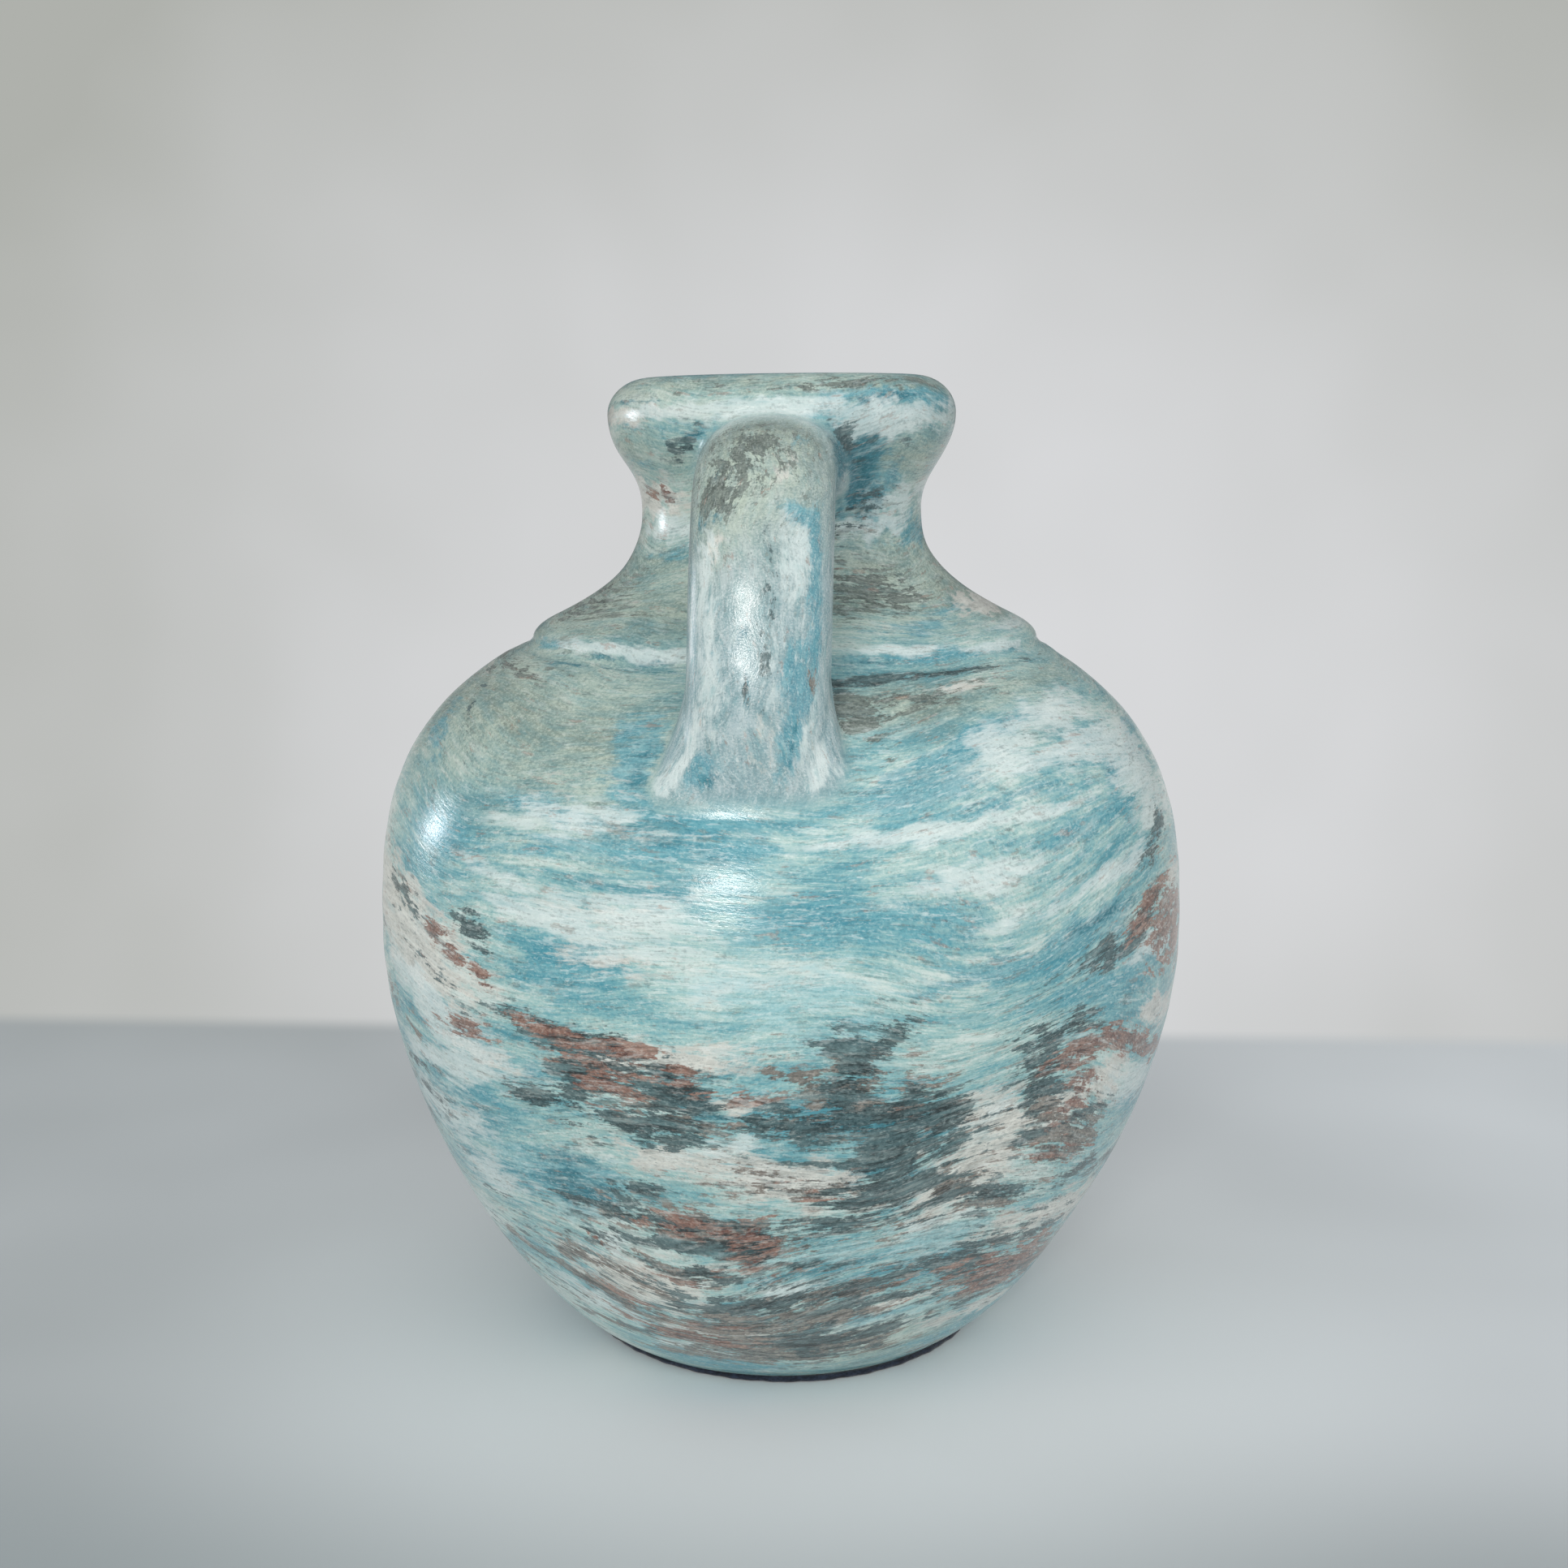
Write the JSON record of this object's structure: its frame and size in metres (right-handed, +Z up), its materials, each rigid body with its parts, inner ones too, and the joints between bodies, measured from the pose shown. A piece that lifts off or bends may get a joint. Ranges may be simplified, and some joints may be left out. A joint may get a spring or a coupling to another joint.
{
  "type": "ceramic jug",
  "caption": "Round-bellied ceramic jug with a stepped shoulder collar, waisted neck, rolled rim and strap handle, brushed in turquoise, white and slate under gloss, on a felt base pad.",
  "frame": {"origin": "centre of the felt pad's underside, on the surface the jug stands on", "axes": "+Z up along the jug's turning axis; the handle points to -Y; +X is to the right of someone facing the handle"},
  "size_m": [0.2, 0.2, 0.238],
  "materials": {
    "painted_ceramic": "brushed turquoise, white, slate and rust paint under a gloss varnish",
    "handle_ceramic": "the same brushed paint, paler and greyer, under a gloss varnish",
    "felt": "dark navy felt, cut by hand, matt"
  },
  "bodies": {
    "root": {"base_pad": "felt", "lower_body": "painted_ceramic", "upper_body": "painted_ceramic", "shoulder_collar": "painted_ceramic", "neck": "painted_ceramic", "rim": "painted_ceramic", "handle_upper_root": "handle_ceramic", "handle": "handle_ceramic", "handle_lower_root": "handle_ceramic"}
  },
  "joints": []
}
